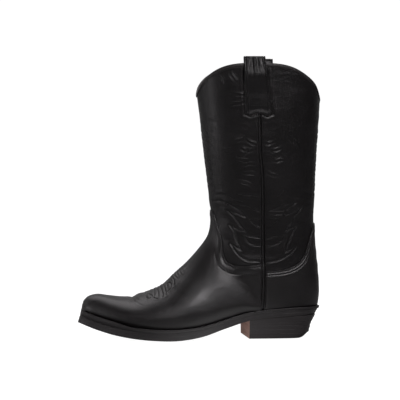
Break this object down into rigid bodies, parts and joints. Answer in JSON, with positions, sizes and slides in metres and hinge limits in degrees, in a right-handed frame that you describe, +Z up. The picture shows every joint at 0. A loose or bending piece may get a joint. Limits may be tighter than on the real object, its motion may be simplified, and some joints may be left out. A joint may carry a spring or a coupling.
{
  "type": "cowboy boot",
  "caption": "Left western boot in black leather with a snip toe, a tall scalloped shaft with pull straps, side piping, welted leather sole and an underslung stacked heel.",
  "frame": {"origin": "on the ground plane, centre of the boot's bounding box in plan", "axes": "-X towards the toe, +X towards the heel, +Z up the shaft, -Y towards the outer (lateral) side of the left foot, +Y towards the inner side"},
  "size_m": [0.3019, 0.1059, 0.3473],
  "materials": {
    "black_leather": "smooth polished black leather with a soft gloss and fine creases",
    "piping_leather": "glossy black folded leather welting",
    "strap_leather": "smooth black leather, gathered at the top, edge stitched",
    "binding": "thin folded edge binding, worn lighter on top",
    "lining_leather": "matte dark red lining leather",
    "foot_lining": "matte tan lining leather",
    "stiffener": "raw stiffening leather board",
    "insole_leather": "raw vegetable-tanned leather",
    "cork": "pressed cork and paste",
    "shank_steel": "plain spring steel",
    "sole_edge": "waxed black sole edge",
    "outsole_leather": "dyed and burnished leather, dull underneath",
    "peg_wood": "lemonwood pegs cut flush",
    "stacked_leather": "stacked leather, black-waxed sides, brown breast",
    "heel_rubber": "matte black rubber",
    "nail_brass": "ground flush"
  },
  "bodies": {
    "foot": {"vamp": "black_leather", "counter_cover": "black_leather", "foot_piping_outer": "piping_leather", "foot_piping_inner": "piping_leather", "vamp_lining": "foot_lining", "heel_lining": "foot_lining", "toe_box": "stiffener", "heel_counter": "stiffener", "insole": "insole_leather", "heel_pad": "foot_lining", "cork_filler": "cork", "steel_shank": "shank_steel", "welt": "sole_edge", "heel_rand": "sole_edge", "midsole": "sole_edge", "outsole": "outsole_leather", "wooden_pegs": "peg_wood", "heel_wedge_lift": "stacked_leather", "heel_lift_3": "stacked_leather", "heel_lift_2": "stacked_leather", "heel_lift_1": "stacked_leather", "heel_top_lift": "heel_rubber", "heel_nails": "nail_brass"},
    "shaft": {"shaft_front_panel": "black_leather", "shaft_back_panel": "black_leather", "shaft_piping_outer": "piping_leather", "shaft_piping_inner": "piping_leather", "shaft_lining_front": "lining_leather", "shaft_lining_back": "lining_leather", "top_binding": "binding"},
    "strap_outer": {"pull_strap_outer": "strap_leather"},
    "strap_inner": {"pull_strap_inner": "strap_leather"}
  },
  "joints": [
    {"name": "ankle_flex", "type": "hinge", "parent": "foot", "child": "shaft", "pos_m": [0.078, 0, 0.16], "axis": [0, -1, 0], "range_deg": [-8, 14], "stiffness_Nm_per_rad": 8, "deforming": ["shaft_front_panel", "shaft_back_panel", "shaft_lining_front", "shaft_lining_back", "shaft_piping_outer", "shaft_piping_inner"]},
    {"name": "strap_outer_flex", "type": "hinge", "parent": "shaft", "child": "strap_outer", "pos_m": [0.0638, -0.0502, 0.336], "axis": [1, 0, 0], "range_deg": [-12, 15], "stiffness_Nm_per_rad": 0.06, "deforming": ["pull_strap_outer"]},
    {"name": "strap_inner_flex", "type": "hinge", "parent": "shaft", "child": "strap_inner", "pos_m": [0.0852, 0.0502, 0.336], "axis": [-1, 0, 0], "range_deg": [-12, 15], "stiffness_Nm_per_rad": 0.06, "deforming": ["pull_strap_inner"]}
  ]
}
